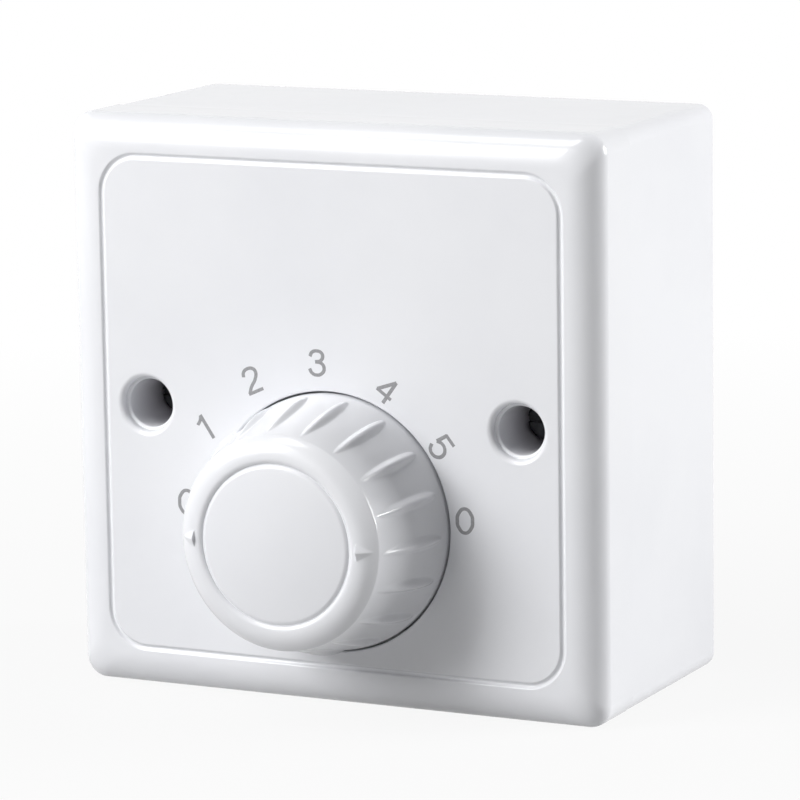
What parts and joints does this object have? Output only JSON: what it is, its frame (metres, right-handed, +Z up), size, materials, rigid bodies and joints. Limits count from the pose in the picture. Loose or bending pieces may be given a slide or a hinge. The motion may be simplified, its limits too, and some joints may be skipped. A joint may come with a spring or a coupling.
{
  "type": "fan speed control switch",
  "caption": "Surface-mounted rotary fan speed controller: square white plate on a deep wall box, ribbed conical knob that selects the speed.",
  "frame": {"origin": "middle of the box's back face, on the axis of the cable entry", "axes": "+Y into the wall, +Z up, +X to the right as seen from the front"},
  "size_m": [0.086, 0.0619, 0.086],
  "materials": {
    "white_box": "moulded gloss white",
    "white_plate": "moulded gloss white",
    "white_knob": "moulded gloss white",
    "grey_print": "pad-printed grey ink",
    "brass": "drawn brass",
    "dark_steel": "black passivated",
    "steel": "zinc plated",
    "zinc": "die-cast zinc",
    "bronze": "phosphor bronze",
    "nylon": "natural nylon",
    "phenolic": "brown phenolic",
    "laminations": "varnished silicon steel",
    "enamelled_wire": "enamelled copper wire",
    "bobbin_plastic": "moulded nylon",
    "red_lead": "PVC insulation",
    "black_lead": "PVC insulation"
  },
  "bodies": {
    "enclosure": {"surface_box": "white_box", "post_inserts": "brass", "front_plate": "white_plate", "plate_screws": "dark_steel", "bush_nut": "steel", "lock_washer": "steel", "switch_frame": "zinc", "detent_spring": "bronze", "switch_case": "phenolic", "contact_base": "phenolic", "speed_contact_1": "brass", "speed_contact_2": "brass", "speed_contact_3": "brass", "speed_contact_4": "brass", "speed_contact_5": "brass", "common_contact": "brass", "switch_rivets": "steel", "choke_core": "laminations", "choke_bobbin": "bobbin_plastic", "choke_winding": "enamelled_wire", "choke_tags": "steel", "choke_bracket": "steel", "choke_screws": "steel", "terminal_block": "bobbin_plastic", "terminal_tubes": "brass", "clamp_screws": "steel", "block_screw": "steel", "tap_leads": "red_lead", "line_leads": "black_lead"},
    "dial": {"knob": "white_knob", "knob_cap": "white_knob", "knob_clip": "steel", "switch_shaft": "steel", "shaft_circlip": "dark_steel", "index_wheel": "nylon", "rotor": "phenolic", "wiper": "bronze"}
  },
  "joints": [
    {"name": "dial_turn", "type": "hinge", "parent": "enclosure", "child": "dial", "pos_m": [0, -0.0435, -0.0154], "axis": [0, 1, 0], "range_deg": [0, 180], "deforming": ["detent_spring"]}
  ]
}
